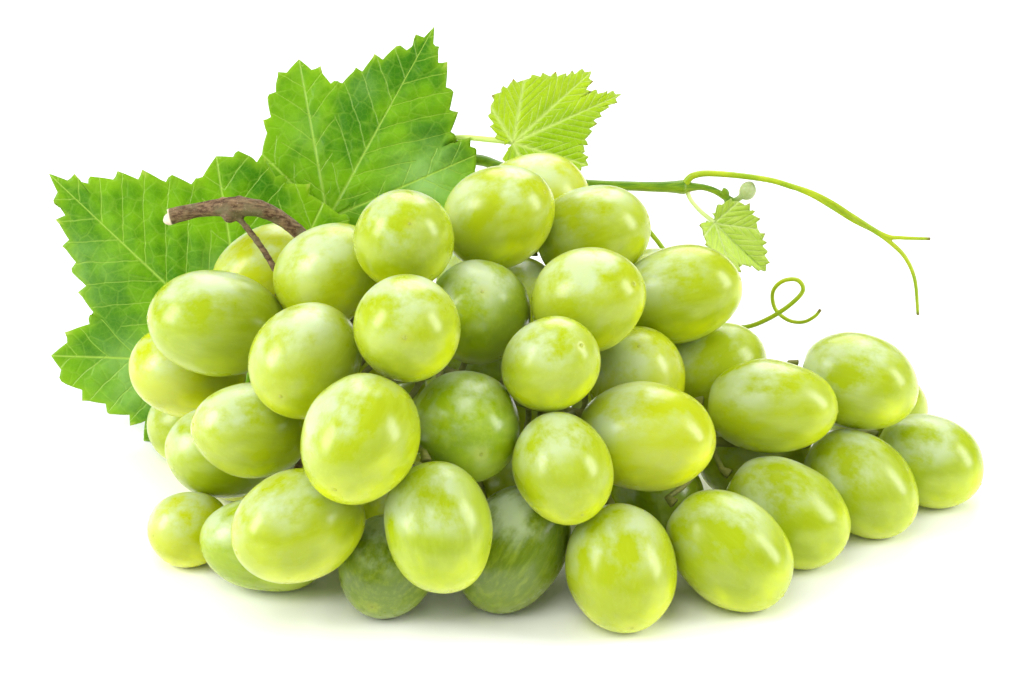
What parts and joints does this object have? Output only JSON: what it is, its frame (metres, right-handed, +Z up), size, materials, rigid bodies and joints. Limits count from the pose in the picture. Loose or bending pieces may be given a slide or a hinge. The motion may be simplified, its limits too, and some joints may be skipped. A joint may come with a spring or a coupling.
{
  "type": "bunch of grapes",
  "caption": "Bunch of large pale green table grapes lying on its side, with a woody stem, two big toothed leaves, a young leaf and a green shoot with tendrils behind it.",
  "frame": {"origin": "middle of the whole object's footprint box, on the table surface that the bunch lies on", "axes": "+X along the bunch to the tail end, +Y to the side where the leaves and the shoot stand, +Z up from the table"},
  "size_m": [0.2214, 0.154, 0.0892],
  "materials": {
    "grape_skin": "translucent pale green skin with a thin whitish bloom, softly glossy",
    "woody_stem": "brown bark where it shows, greener inside the bunch, dry and fibrous",
    "leaf_green": "fresh green blade with pale raised veins, waxy sheen",
    "leaf_young": "thin lime green young blade with pale veins",
    "green_shoot": "smooth green shoot, paler underneath",
    "tendril": "smooth lime green tendril"
  },
  "bodies": {
    "root": {"berry_01": "grape_skin", "berry_02": "grape_skin", "berry_03": "grape_skin", "berry_04": "grape_skin", "berry_05": "grape_skin", "berry_06": "grape_skin", "berry_07": "grape_skin", "berry_08": "grape_skin", "berry_09": "grape_skin", "berry_10": "grape_skin", "berry_11": "grape_skin", "berry_12": "grape_skin", "berry_13": "grape_skin", "berry_14": "grape_skin", "berry_15": "grape_skin", "berry_16": "grape_skin", "berry_17": "grape_skin", "berry_18": "grape_skin", "berry_19": "grape_skin", "berry_20": "grape_skin", "berry_21": "grape_skin", "berry_22": "grape_skin", "berry_23": "grape_skin", "berry_24": "grape_skin", "berry_25": "grape_skin", "berry_26": "grape_skin", "berry_27": "grape_skin", "berry_28": "grape_skin", "berry_29": "grape_skin", "berry_30": "grape_skin", "berry_31": "grape_skin", "berry_32": "grape_skin", "berry_33": "grape_skin", "berry_34": "grape_skin", "berry_35": "grape_skin", "berry_36": "grape_skin", "berry_37": "grape_skin", "berry_38": "grape_skin", "berry_39": "grape_skin", "berry_40": "grape_skin", "berry_41": "grape_skin", "berry_42": "grape_skin", "berry_43": "grape_skin", "berry_44": "grape_skin", "berry_45": "grape_skin", "berry_46": "grape_skin", "berry_47": "grape_skin", "berry_48": "grape_skin", "berry_49": "grape_skin", "berry_50": "grape_skin", "berry_51": "grape_skin", "berry_52": "grape_skin", "stem": "woody_stem", "leaf_left": "leaf_green", "leaf_back": "leaf_green", "leaf_young": "leaf_young", "leaf_tip": "leaf_young", "shoot": "green_shoot", "tendril_forked": "tendril", "tendril_curled": "tendril"}
  },
  "joints": []
}
